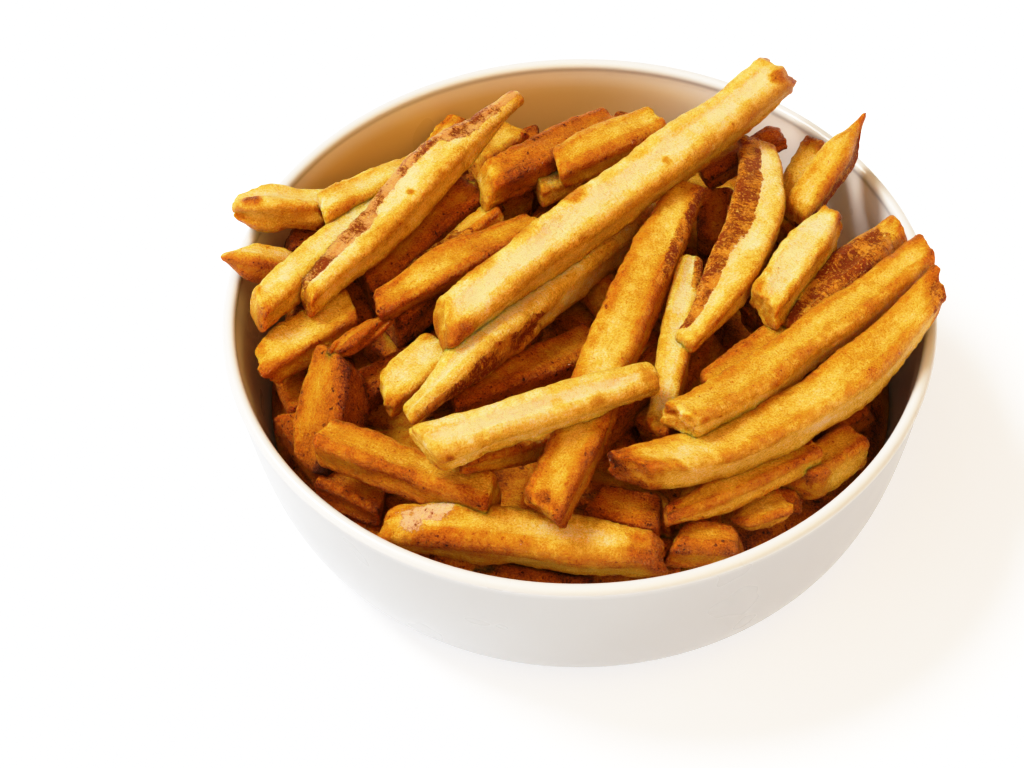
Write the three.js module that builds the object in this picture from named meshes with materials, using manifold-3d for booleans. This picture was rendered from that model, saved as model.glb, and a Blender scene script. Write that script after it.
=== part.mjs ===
// A round white bowl heaped with thick hand-cut french fries.
// Millimetres, +Z up, +X to the right and +Y to the back of the bowl as it is served.
// The origin is the centre of the bowl's flat foot.
import * as THREE from 'three';
import { mergeVertices } from 'three/addons/utils/BufferGeometryUtils.js';
import Module from 'manifold-3d';

// Bowl: a low coupe bowl with steep walls, a rounded lip and a flat ground foot.
const RIM_RADIUS = 89;
const RIM_HEIGHT = 55;
const WALL = 3.4;
const FOOT_HEIGHT = 4.4;
const FOOT_RADIUS = 44.5;
const FLOOR_THICKNESS = 3.6;
const WALL_SQUARENESS = 0.235;
const WALL_STEEPNESS = 2.54;
const BOWL_SIDES = 64;
const WALL_STEPS = 9;
const LIP_STEPS = 6;

// Heap: whole fries over a plain core, all fused.
const CLEARANCE = 0.4;
const CORE_SIDES = 40;
const CORE_SHOULDER = 24;
const CORE_TOP = 52;
const FRY_STEP = 15;
const END_ROUND = 0.84;

// A fry's from and to are the centres of its ends; wide and thick are its cut faces.
// roll turns it about its length in degrees, bow bends it [sideways, upward] in mm, and
// tip is the size of each end as a share of the middle.
const SHOWN_FRIES = [
  // Top of the heap, from left to right.
  { name: 'skin_top', from: [-68, -1, 60], to: [-15, 61, 68],
    wide: 11, thick: 10, roll: 8, bow: [0, 1], tip: [0.8, 0.45] },
  { name: 'speckled', from: [-50, -4, 59], to: [-11, 22, 61],
    wide: 9, thick: 8, bow: [0, 1], tip: [0.8, 0.9] },
  { name: 'thin_skin', from: [-44, 8, 54], to: [-21, 29, 57],
    wide: 7, thick: 6, roll: 20, tip: [0.8, 1] },
  { name: 'dark_left', from: [-54, 10, 52], to: [-24, 39, 56], wide: 11, thick: 10 },
  { name: 'long_pale', from: [-34, -17, 67], to: [53, 62, 74], wide: 12, thick: 11, tip: [0.9, 0.9] },
  { name: 'skin_under', from: [-42, -40, 60], to: [21, 40, 51],
    wide: 11, thick: 10, bow: [0, 3], tip: [0.5, 1] },
  { name: 'dark_under', from: [-31, -28, 51], to: [5, -5, 46], wide: 10, thick: 10 },
  { name: 'blunt_pale', from: [-48, -30, 56], to: [-33, -14, 55], wide: 10, thick: 9, tip: [0.9, 1] },
  { name: 'cross_pale', from: [-37, -57, 70], to: [18, -35, 69],
    wide: 11, thick: 10, bow: [0, 1], tip: [1, 0.8] },
  { name: 'cross_low', from: [-28, -54, 61], to: [-8, -39, 50], wide: 8, thick: 7, tip: [0.8, 1] },
  { name: 'long_steep', from: [-9, -67, 57], to: [28, 30, 65],
    wide: 13, thick: 10, bow: [0, 2], tip: [0.95, 0.8] },
  { name: 'narrow', from: [18, -44, 57], to: [28, 8, 62], wide: 8, thick: 8, tip: [0.8, 0.8] },
  { name: 'curved_skin', from: [25, -21, 64], to: [46, 46, 63],
    wide: 12, thick: 9, bow: [7, 3], tip: [0.5, 0.8] },
  // Left side, where two fries lie over the rim.
  { name: 'left_bulb', from: [-80, -5, 60], to: [-38, 42, 60], wide: 9, thick: 9, tip: [0.95, 0.6] },
  { name: 'left_ledge', from: [-86, 30, 61], to: [-63, 29, 59],
    wide: 10, thick: 10, roll: 20, bow: [0, 1], tip: [0.7, 0.9] },
  { name: 'left_back', from: [-62, 28, 62], to: [-37, 46, 59], wide: 10, thick: 10, tip: [1, 0.8] },
  { name: 'left_tip', from: [-90, 12, 63], to: [-70, 14, 51],
    wide: 9, thick: 8, roll: 10, bow: [0, 2], tip: [0.25, 0.9] },
  { name: 'left_dark', from: [-74, 24, 52], to: [-59, 29, 50], wide: 9, thick: 9 },
  { name: 'low_left', from: [-78, -14, 50], to: [-57, 2, 52],
    wide: 11, thick: 10, bow: [0, 1], tip: [0.85, 0.9] },
  { name: 'wide_left', from: [-65, -40, 41], to: [-58, -16, 55],
    wide: 15, thick: 13, roll: 30, bow: [1, 0], tip: [0.75, 0.9] },
  { name: 'twist_edge', from: [-62, -19, 59], to: [-46, -4, 57],
    wide: 5, thick: 4, roll: 20, bow: [0, 1], tip: [0.6, 0.6] },
  { name: 'gap_left', from: [-60, -24, 46], to: [-38, -11, 48], wide: 9, thick: 9 },
  { name: 'red_gap', from: [-46, -4, 52], to: [-20, 25, 54], wide: 9, thick: 9 },
  // Back of the heap.
  { name: 'back_orange', from: [-24, 33, 64], to: [9, 56, 62], wide: 10, thick: 10, tip: [1, 0.8] },
  { name: 'back_low', from: [-8, 56, 53], to: [8, 64, 53], wide: 9, thick: 9, tip: [1, 0.8] },
  { name: 'back_yellow', from: [-5, 37, 66], to: [20, 51, 67], wide: 11, thick: 10, tip: [0.9, 0.9] },
  { name: 'back_bit', from: [-10, 35, 60], to: [0, 42, 58], wide: 7, thick: 7 },
  { name: 'peek_a', from: [-41, 57, 45], to: [-31, 74, 48], wide: 7, thick: 7, tip: [1, 0.8] },
  { name: 'peek_b', from: [-26, 57, 48], to: [-15, 69, 46], wide: 9, thick: 9 },
  { name: 'orange_bit', from: [32, 42, 57], to: [43, 52, 57], wide: 8, thick: 8, tip: [0.9, 0.9] },
  { name: 'curl_back', from: [45, 48, 60], to: [54, 51, 61],
    wide: 7, thick: 6, bow: [0, 1], tip: [1, 0.8] },
  { name: 'gap_right', from: [34, 23, 50], to: [36, 42, 50], wide: 9, thick: 9 },
  // Right side, where one fry lies over the rim.
  { name: 'right_yellow', from: [51, 26, 53], to: [63, 54, 57], wide: 9, thick: 8, tip: [1, 0.8] },
  { name: 'right_tip', from: [55, 25, 58], to: [74, 52, 69], wide: 8, thick: 9, tip: [1, 0.15] },
  { name: 'right_orange', from: [43, -5, 52], to: [54, 12, 51], wide: 9, thick: 9 },
  { name: 'right_gap', from: [62, 14, 46], to: [52, 42, 46], wide: 9, thick: 9 },
  { name: 'right_pale', from: [45, -12, 66], to: [64, 20, 66], wide: 11, thick: 9, tip: [0.9, 0.8] },
  { name: 'right_skin', from: [50, -14, 60], to: [80, 19, 60],
    wide: 10, thick: 9, bow: [0, 1], tip: [0.8, 0.9] },
  { name: 'under_ridge', from: [30, -31, 60], to: [56, -10, 56], wide: 9, thick: 9, tip: [0.9, 1] },
  { name: 'ridge_right', from: [23, -47, 66], to: [86, 7, 64],
    wide: 11, thick: 10, bow: [1, -3], tip: [0.9, 0.85] },
  { name: 'ledge_right', from: [11, -58, 61], to: [88, -5, 64],
    wide: 12, thick: 11, bow: [7, -5], tip: [0.9, 0.85] },
  { name: 'shade_right', from: [57, -32, 40], to: [71, -20, 40], wide: 9, thick: 9 },
  // Front of the heap, down inside the wall.
  { name: 'thin_front', from: [20, -64, 51], to: [56, -43, 49], wide: 8, thick: 7, tip: [0.6, 1] },
  { name: 'chunk', from: [52, -49, 44], to: [67, -37, 44], wide: 9, thick: 10 },
  { name: 'flake', from: [36, -58, 42], to: [49, -55, 43], wide: 8, thick: 4, tip: [0.5, 1] },
  { name: 'curl_front', from: [45, -48, 40], to: [53, -50, 40], wide: 6, thick: 6, tip: [0.9, 0.9] },
  { name: 'front_long', from: [-48, -61, 45], to: [20, -69, 42],
    wide: 12, thick: 15, bow: [0, 1], tip: [0.8, 0.85] },
  { name: 'front_right', from: [22, -64, 42], to: [38, -66, 42], wide: 10, thick: 9, tip: [1, 0.9] },
  { name: 'fibrous', from: [-61, -41, 54], to: [-21, -59, 52], wide: 11, thick: 10, tip: [0.95, 0.95] },
  { name: 'shade_left', from: [-62, -42, 40], to: [-48, -48, 38], wide: 10, thick: 9 },
  { name: 'shade_front', from: [2, -55, 44], to: [19, -59, 43], wide: 10, thick: 9 },
];

// Rings of fries that carry the shown ones: how many, how far out and how high. The bed
// leans, higher at the back.
const BED_RINGS = [
  { count: 5, radius: 14, height: 62, length: 40, spread: 90 },
  { count: 9, radius: 32, height: 60, length: 40, spread: 60 },
  { count: 12, radius: 48, height: 55, length: 40, spread: 40 },
  { count: 16, radius: 62, height: 48, length: 34, spread: 20 },
  { count: 18, radius: 71, height: 38, length: 32, spread: 8 },
  { count: 16, radius: 69, height: 28, length: 34, spread: 10 },
];
const BED_LEAN = 0.08;
const BED_SEED = 4711;
const TOUCHING = 8;
const DEEPEST = 22;

function makeRandom(seed) {
  let state = seed;
  return () => {
    state = (state * 16807) % 2147483647;
    return state / 2147483647;
  };
}

// Radius and height of a bowl wall, down from the lip to where the bottom turns flat.
function wallCurve(radius, depth, flatRadius, start, steps) {
  const points = [];
  for (let i = 0; i <= steps; i++) {
    const angle = start + (Math.PI / 2 - start) * (1 - (1 - i / steps) ** 1.8);
    const r = flatRadius + (radius - flatRadius) * Math.max(Math.cos(angle), 0) ** WALL_SQUARENESS;
    const z = RIM_HEIGHT - depth * Math.sin(angle) ** WALL_STEEPNESS;
    points.push(new THREE.Vector2(r, z));
  }
  return points;
}

const OUTER_DEPTH = RIM_HEIGHT - FOOT_HEIGHT;
const INNER_DEPTH = OUTER_DEPTH - FLOOR_THICKNESS;
const FLOOR = RIM_HEIGHT - INNER_DEPTH;
const INNER_RADIUS = RIM_RADIUS - WALL;
const LIP_START = 0.27;
const outerWall = wallCurve(RIM_RADIUS, OUTER_DEPTH, FOOT_RADIUS, LIP_START, WALL_STEPS);
const innerWall = wallCurve(INNER_RADIUS, INNER_DEPTH, FOOT_RADIUS, LIP_START, WALL_STEPS);

function innerRadiusAt(z) {
  if (z >= innerWall[0].y) return INNER_RADIUS - 0.4;
  for (let i = 1; i < innerWall.length; i++) {
    const above = innerWall[i - 1];
    const below = innerWall[i];
    if (z >= below.y) {
      return below.x + (above.x - below.x) * (z - below.y) / Math.max(above.y - below.y, 0.001);
    }
  }
  return 0;
}

// LatheGeometry turns about Y, so the profile is laid in X-Y and stood up afterwards.
function lathe(profile, sides) {
  return new THREE.LatheGeometry(profile, sides).rotateX(Math.PI / 2);
}

function makeBowl() {
  const profile = [
    new THREE.Vector2(0, 0),
    new THREE.Vector2(FOOT_RADIUS - 0.8, 0),
    new THREE.Vector2(FOOT_RADIUS, 0.8),
  ];
  profile.push(...outerWall.slice().reverse());
  const lipRadius = WALL / 2;
  const lipHeight = RIM_HEIGHT - lipRadius;
  for (let i = 0; i <= LIP_STEPS; i++) {
    const angle = Math.PI * i / LIP_STEPS;
    const r = RIM_RADIUS - lipRadius + lipRadius * Math.cos(angle);
    profile.push(new THREE.Vector2(r, lipHeight + lipRadius * Math.sin(angle)));
  }
  profile.push(...innerWall.slice(1));
  profile.push(new THREE.Vector2(0, FLOOR));
  return lathe(profile, BOWL_SIDES);
}

// The core keeps clear of the bowl and rises to a blunt dome under the fries.
function makeCore() {
  const profile = [new THREE.Vector2(0, FLOOR + CLEARANCE)];
  for (let i = 0; i <= 3; i++) {
    const z = FLOOR + CLEARANCE + (CORE_SHOULDER - FLOOR - CLEARANCE) * i / 3;
    profile.push(new THREE.Vector2(innerRadiusAt(z - 0.3) - 2 * CLEARANCE, z));
  }
  for (let i = 1; i <= 4; i++) {
    const angle = Math.PI / 2 * i / 5;
    const z = CORE_SHOULDER + (CORE_TOP - CORE_SHOULDER) * Math.sin(angle);
    profile.push(new THREE.Vector2(innerRadiusAt(CORE_SHOULDER) * Math.cos(angle) ** 0.7, z));
  }
  profile.push(new THREE.Vector2(0, CORE_TOP));
  return lathe(profile, CORE_SIDES);
}

// One fry: a swept block with eased edges, bent, tapered and slightly uneven.
function makeFry({ from, to, wide, thick, roll = 0, bow = [0, 0], tip = [1, 1] }, random) {
  const start = new THREE.Vector3(...from);
  const run = new THREE.Vector3(...to).sub(start);
  const length = run.length();
  const along = run.clone().normalize();
  const side = new THREE.Vector3().crossVectors(along, new THREE.Vector3(0, 0, 1)).normalize();
  const up = new THREE.Vector3().crossVectors(side, along);
  const acrossWide = side.clone().applyAxisAngle(along, THREE.MathUtils.degToRad(roll));
  const acrossThick = up.clone().applyAxisAngle(along, THREE.MathUtils.degToRad(roll));
  const steps = Math.max(2, Math.round(length / FRY_STEP));
  const girth = [];
  for (let i = 0; i <= steps; i++) {
    girth.push(i === 0 || i === steps ? 1 : 0.95 + 0.1 * random());
  }

  const geometry = solidOnly(new THREE.CylinderGeometry(1, 1, 1, 8, steps, false, Math.PI / 8));
  const position = geometry.attributes.position;
  const point = new THREE.Vector3();
  for (let i = 0; i < position.count; i++) {
    const [x, y, z] = [position.getX(i), position.getY(i), position.getZ(i)];
    const station = Math.round((y + 0.5) * steps);
    const t = station / steps;
    const nearEnd = Math.max(1 - t / 0.35, 1 - (1 - t) / 0.35, 0);
    const endSize = 1 - (1 - tip[t < 0.5 ? 0 : 1]) * nearEnd;
    const size = girth[station] * endSize * (station === 0 || station === steps ? END_ROUND : 1);
    const halfWide = wide / 2 * size;
    const halfThick = thick / 2 * size;
    const ease = 0.28 * Math.min(halfWide, halfThick);
    const flatSide = Math.abs(x) > Math.abs(z);
    const onAxis = Math.hypot(x, z) < 0.5;
    const a = onAxis ? 0 : Math.sign(x) * (flatSide ? halfWide : halfWide - ease);
    const b = onAxis ? 0 : Math.sign(z) * (flatSide ? halfThick - ease : halfThick);
    const sag = 4 * t * (1 - t);
    point.copy(start).addScaledVector(run, t);
    point.addScaledVector(side, bow[0] * sag).addScaledVector(up, bow[1] * sag);
    point.addScaledVector(acrossWide, a).addScaledVector(acrossThick, b);
    position.setXYZ(i, point.x, point.y, point.z);
  }
  return geometry;
}

// Points along a fry's centre line.
function centreLine({ from, to, bow = [0, 0] }, count) {
  const start = new THREE.Vector3(...from);
  const run = new THREE.Vector3(...to).sub(start);
  const side = new THREE.Vector3().crossVectors(run, new THREE.Vector3(0, 0, 1)).normalize();
  const up = new THREE.Vector3().crossVectors(side, run).normalize();
  const points = [];
  for (let i = 0; i < count; i++) {
    const t = i / (count - 1);
    const sag = 4 * t * (1 - t);
    const point = start.clone().addScaledVector(run, t);
    points.push(point.addScaledVector(side, bow[0] * sag).addScaledVector(up, bow[1] * sag));
  }
  return points;
}

// Fries of the bed lie round the bowl. One that would reach the wall is shortened or left
// out, and one that would cut through a shown fry lies lower.
function makeBed() {
  const random = makeRandom(BED_SEED);
  const shownPoints = SHOWN_FRIES.flatMap((fry) => centreLine(fry, 13));
  const fries = [];
  for (const ring of BED_RINGS) {
    for (let i = 0; i < ring.count; i++) {
      const angle = 2 * Math.PI * (i + 0.6 * random()) / ring.count;
      const heading = angle + Math.PI / 2 + THREE.MathUtils.degToRad(ring.spread * (2 * random() - 1));
      const tilt = 5 * (2 * random() - 1);
      const wide = 9 + 2 * random();
      const thick = 8.5 + 1.5 * random();
      const roll = 90 * random();
      let half = ring.length * (0.85 + 0.3 * random()) / 2;
      let drop = 0;
      const centre = [ring.radius * Math.cos(angle), ring.radius * Math.sin(angle)];
      const reach = [Math.cos(heading), Math.sin(heading)];
      const ends = () => [-1, 1].map((s) => [
        centre[0] + s * half * reach[0],
        centre[1] + s * half * reach[1],
        ring.height - drop + s * tilt + BED_LEAN * (centre[1] + s * half * reach[1]),
      ]);
      const inside = () => ends().every(([x, y, z]) => (
        Math.hypot(x, y) + wide * 0.7 < innerRadiusAt(z - thick / 2) - CLEARANCE
      ));
      while (!inside() && half > 6) half -= 1;
      if (half < 9) continue;
      const crossing = () => {
        const [from, to] = ends();
        const points = centreLine({ from, to }, 9);
        return points.some((a) => shownPoints.some((b) => a.distanceTo(b) < TOUCHING));
      };
      while (crossing() && drop < DEEPEST) drop += 1;
      if (crossing() || !inside()) continue;
      const [from, to] = ends();
      fries.push({ from, to, wide, thick, roll });
    }
  }
  return fries;
}

// Keeps only the shape, with shared corners welded, as the solid library needs.
function solidOnly(geometry) {
  geometry.deleteAttribute('normal');
  geometry.deleteAttribute('uv');
  return mergeVertices(geometry);
}

const wasm = await Module();
wasm.setup();

function toSolid(geometry) {
  const shape = geometry.attributes.normal ? solidOnly(geometry) : geometry;
  return new wasm.Manifold(new wasm.Mesh({
    numProp: 3,
    vertProperties: new Float32Array(shape.attributes.position.array),
    triVerts: new Uint32Array(shape.index.array),
  }));
}

function toGeometry(solid) {
  const mesh = solid.getMesh();
  const geometry = new THREE.BufferGeometry();
  geometry.setAttribute('position', new THREE.BufferAttribute(mesh.vertProperties, 3));
  geometry.setIndex(new THREE.BufferAttribute(mesh.triVerts, 1));
  geometry.computeVertexNormals();
  return geometry;
}

// Fuses the fries to the core. The largest outer shell is kept, so a pocket sealed
// between fries is filled and a scrap that touches nothing is dropped.
function makeHeap() {
  const random = makeRandom(BED_SEED + 1);
  let heap = toSolid(makeCore());
  for (const fry of [...makeBed(), ...SHOWN_FRIES]) {
    heap = heap.add(toSolid(makeFry(fry, random)));
  }
  const shells = heap.decompose();
  shells.sort((a, b) => b.volume() - a.volume());
  return toGeometry(shells[0]);
}

function addMesh(parent, name, geometry, colour, roughness) {
  const material = new THREE.MeshStandardMaterial({ color: colour, roughness, metalness: 0 });
  const mesh = new THREE.Mesh(geometry, material);
  mesh.name = name;
  parent.add(mesh);
}

const portion = new THREE.Group();
portion.name = 'french_fries_portion';
addMesh(portion, 'bowl', makeBowl(), 0xf3f1ec, 0.25);
addMesh(portion, 'fries', makeHeap(), 0xdca03c, 0.6);

export default portion;
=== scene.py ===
"""A round white bowl heaped with thick hand-cut french fries.

Metres, +Z up, +X to the right and +Y to the back of the bowl as it is served. The origin
is the centre of the bowl's flat foot. Fries are listed in millimetres and turned to metres
as their meshes are made.
"""

import math
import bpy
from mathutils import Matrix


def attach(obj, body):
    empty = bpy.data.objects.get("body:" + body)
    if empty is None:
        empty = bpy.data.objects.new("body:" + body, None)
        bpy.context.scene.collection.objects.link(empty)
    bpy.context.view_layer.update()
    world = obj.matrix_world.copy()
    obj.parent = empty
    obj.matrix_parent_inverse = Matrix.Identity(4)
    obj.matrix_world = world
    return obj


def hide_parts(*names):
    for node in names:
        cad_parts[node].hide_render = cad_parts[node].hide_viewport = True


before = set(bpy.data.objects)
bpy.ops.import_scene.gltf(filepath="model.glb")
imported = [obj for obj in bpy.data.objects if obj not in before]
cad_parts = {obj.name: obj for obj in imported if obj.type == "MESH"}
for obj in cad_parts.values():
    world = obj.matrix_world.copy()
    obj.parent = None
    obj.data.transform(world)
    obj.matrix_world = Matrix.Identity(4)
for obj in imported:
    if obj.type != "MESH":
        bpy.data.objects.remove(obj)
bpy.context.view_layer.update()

from types import SimpleNamespace

import bpy
import numpy as np
from mathutils import Matrix

MM = 0.001

# ---------------------------------------------------------------- the bowl's dimensions, in mm
RIM_RADIUS = 89
RIM_HEIGHT = 55
WALL = 3.4
FOOT_HEIGHT = 4.4
FOOT_RADIUS = 44.5
FLOOR_THICKNESS = 3.6
FLOOR = FOOT_HEIGHT + FLOOR_THICKNESS
INNER_RADIUS = RIM_RADIUS - WALL
OUTER_DEPTH = RIM_HEIGHT - FOOT_HEIGHT
INNER_DEPTH = OUTER_DEPTH - FLOOR_THICKNESS
# How straight the wall runs down before it turns in, how sharply it then turns, and the
# angle in radians at which the lip meets it.
WALL_SQUARENESS = 0.235
WALL_STEEPNESS = 2.54
LIP_START = 0.27
# How far the inner wall eases outward to the lip, and between which heights.
LIP_BLEND = 0.45
LIP_BLEND_HEIGHTS = (46, 53.3)
# Which way from the middle (x, y) the inner wall is painted warm and darker, as painted shade lit by bounce
# light from the fries.
PAINTED_BOUNCE_SIDE = (-0.42, 0.91)

# ---------------------------------------------------------------- the fries that show
# start and end are the centres of a fry's ends, cut its width and thickness, roll its turn
# about its length in degrees, twist how much further it turns from end to end, bow its bend
# (sideways, upward) and tip the size of each end as a share of the middle. torn is how
# ragged each end is and gnarl how knobbly the fry is, both in mm.
# fried is how brown it is, from 0 pale to 1 dark, and drift what it gains along its run.
# faces are how much browner its four long faces are: right of its run, top, left and
# bottom; ends how much browner its two ends are. skin lists patches of peel: the angle round
# the fry that a patch faces (0 right of its run, 90 up, 180 left), half its spread, and from
# where to where it runs along the fry. blush is how pink that peel is. marks are browner or
# paler spots: how far along, the angle round the fry, how wide in mm and how much browner.
# cuts are the slopes (sideways, upward) of its two ends, where they aren't left to chance.


def fry(name, start, end, cut, fried, roll=0, bow=(0, 0), tip=(1, 1), ends=(0.12, 0.12), skin=(),
        blush=0, faces=(0.1, 0, 0, 0.1), torn=(0.5, 0.5), twist=0, drift=0, gnarl=0.3, marks=(),
        cuts=(None, None)):
    """One fry's measurements and finish, with those of a plain fry where none is given."""
    return dict(name=name, start=start, end=end, cut=cut, fried=fried, roll=roll, bow=bow, tip=tip,
                ends=ends, skin=skin, blush=blush, faces=faces, torn=torn, twist=twist, drift=drift,
                gnarl=gnarl, marks=marks, cuts=cuts)


TOP_FRIES = [
    fry("skin_top", (-68, -1, 60), (-15, 61, 68), (11, 10), 0.04, 8, (0, 1), (0.8, 0.45), (0.3, 0.1),
        [(132, 16, 0.0, 1.0), (120, 30, 0.0, 0.34), (112, 46, 0.72, 1.0)], 0.3, torn=(1.6, 0.5),
        marks=[(0.47, 70, 1.3, 0.6), (0.3, 60, 8, 0.12), (0.62, 60, 9, 0.14)]),
    fry("speckled", (-50, -4, 59), (-11, 22, 61), (9, 8), 0.44, bow=(0, 1), tip=(0.8, 0.9),
        ends=(0.2, 0.1), torn=(1.4, 0.5), gnarl=0.8, marks=[(0.05, -60, 4, 0.8), (0.3, 90, 8, -0.15)]),
    fry("thin_skin", (-44, 8, 54), (-21, 29, 57), (7, 6), 0.3, 20, tip=(0.8, 1),
        skin=[(90, 60, 0, 0.65)], gnarl=0.6),
    fry("dark_left", (-54, 10, 52), (-24, 39, 56), (11, 10), 0.54),
    fry("long_pale", (-34, -17, 67), (53, 62, 74), (13, 12), 0.0, -12, tip=(0.9, 0.9), ends=(0.25, 0.25),
        faces=(0.14, -0.05, 0.1, 0.1), torn=(0.7, 1.6), twist=-8, drift=0.12, gnarl=0.5,
        marks=[(0.42, 130, 5, 0.35), (0.28, 145, 6, 0.3), (0.14, 145, 7, 0.32), (0.03, 20, 5, 0.3),
               (0.97, 60, 3, 0.45), (0.62, 60, 1.6, 0.4)]),
    fry("skin_under", (-42, -40, 60), (21, 40, 51), (12, 12), 0.08, bow=(0, 3), tip=(0.5, 1),
        skin=[(2, 34, 0.04, 0.44)], faces=(0.02, -0.08, 0, 0.2), gnarl=0.5),
    fry("dark_under", (-31, -28, 51), (5, -5, 46), (10, 10), 0.55),
    fry("blunt_pale", (-48, -30, 56), (-33, -14, 55), (10, 9), 0.1, tip=(0.9, 1), torn=(1.8, 0.5)),
    fry("cross_pale", (-37, -57, 70), (18, -35, 69), (11, 10), -0.02, -24, bow=(0, 1), tip=(1, 0.8),
        ends=(0.1, 0.15), faces=(0.1, -0.04, 0.1, 0.05), torn=(0.3, 0.6), drift=0.06,
        marks=[(0.05, 0, 1.8, 0.45), (0.55, 60, 2.2, 0.2), (0.72, 30, 3, 0.2), (0.95, 60, 3, 0.3)],
        cuts=((0.35, 0.0), None)),
    fry("cross_low", (-28, -54, 61), (-8, -39, 50), (8, 7), 0.25, tip=(0.8, 1)),
    fry("long_steep", (-9, -67, 57), (28, 30, 65), (13, 10), 0.36, bow=(0, 2), tip=(0.95, 0.8),
        skin=[(35, 22, 0.66, 1.0)], faces=(0.15, -0.06, 0.12, 0.2), torn=(1.4, 0.5),
        marks=[(0.02, 90, 2.5, 0.5), (0.45, 85, 12, -0.12)]),
    fry("narrow", (18, -44, 57), (28, 8, 62), (8, 8), 0.1, tip=(0.8, 0.8), ends=(0.3, 0.1),
        skin=[(40, 30, 0.84, 1.0)], faces=(0.25, 0, 0.1, 0.1)),
    fry("curved_skin", (25, -21, 64), (46, 46, 63), (12, 9), 0.1, bow=(7, 3), tip=(0.5, 0.8),
        ends=(0.1, 0.3), skin=[(130, 44, 0.45, 1.0), (140, 36, 0.03, 0.55)], faces=(0.12, -0.04, 0, 0.1)),
]
LEFT_FRIES = [
    fry("left_bulb", (-80, -5, 60), (-38, 42, 60), (9, 9), 0.06, tip=(0.95, 0.6),
        faces=(0.2, 0, 0, 0.2)),
    fry("left_ledge", (-86, 30, 61), (-63, 29, 59), (10, 10), 0.06, 20, (0, 1), (0.7, 0.9),
        (0.1, -0.05), faces=(0.22, 0, 0, 0.25), torn=(1.8, 1.4), gnarl=1.1,
        marks=[(0.24, 75, 2.6, 0.75)]),
    fry("left_back", (-65, 26, 63), (-37, 46, 59), (10, 10), 0.18, tip=(1, 0.8), ends=(-0.2, 0.1),
        torn=(2.4, 0.5), gnarl=0.8),
    fry("left_tip", (-90, 12, 63), (-70, 14, 51), (9, 8), 0.12, 10, (0, 2), (0.25, 0.9),
        faces=(0.4, 0, 0, 0.45), torn=(1.5, 0.5), gnarl=0.8),
    fry("left_dark", (-74, 24, 52), (-59, 29, 50), (9, 9), 0.75),
    fry("low_left", (-78, -14, 50), (-57, 2, 52), (11, 10), 0.22, bow=(0, 1), tip=(0.85, 0.9),
        faces=(0.22, 0, 0, 0.25), torn=(1.8, 0.5), gnarl=1.0),
    fry("wide_left", (-65, -40, 41), (-58, -16, 55), (15, 13), 0.56, 30, (1, 0), (0.75, 0.8), (0.3, 0.1),
        faces=(0.3, -0.06, -0.22, 0.2), torn=(1.8, 0.5), gnarl=0.5,
        marks=[(0.03, 60, 5, 0.5), (0.15, 120, 5, 0.2)]),
    fry("twist_edge", (-62, -19, 59), (-46, -4, 57), (5, 4), 0.5, 20, (0, 1), (0.6, 0.6), twist=70,
        torn=(1.2, 1.2), gnarl=0.8),
    fry("gap_left", (-60, -24, 46), (-38, -11, 48), (9, 9), 0.72),
    fry("red_gap", (-46, -4, 52), (-20, 25, 54), (9, 9), 0.68),
]
BACK_FRIES = [
    fry("back_orange", (-24, 33, 64), (9, 56, 62), (10, 10), 0.6, tip=(1, 0.8), ends=(-0.42, 0.05),
        faces=(0.05, 0.05, 0, 0.1), torn=(1.0, 0.5), gnarl=0.6),
    fry("back_low", (-8, 56, 53), (8, 64, 53), (9, 9), 0.45, tip=(1, 0.8)),
    fry("back_yellow", (-5, 37, 66), (20, 51, 67), (11, 10), 0.2, tip=(0.9, 0.9),
        faces=(0.12, 0.05, 0, 0.2), torn=(0.8, 0.5)),
    fry("back_bit", (-10, 35, 60), (0, 42, 58), (7, 7), 0.12),
    fry("peek_a", (-41, 57, 45), (-31, 74, 48), (7, 7), 0.3, tip=(1, 0.8)),
    fry("peek_b", (-26, 57, 48), (-15, 69, 46), (9, 9), 0.22),
    fry("orange_bit", (32, 42, 57), (43, 52, 57), (8, 8), 0.52, tip=(0.9, 0.9)),
    fry("curl_back", (45, 48, 60), (54, 51, 61), (7, 6), 0.6, bow=(0, 1), tip=(1, 0.8),
        torn=(0.5, 1.2), gnarl=1.0),
    fry("gap_right", (34, 23, 50), (36, 42, 50), (9, 9), 0.62),
]
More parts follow.
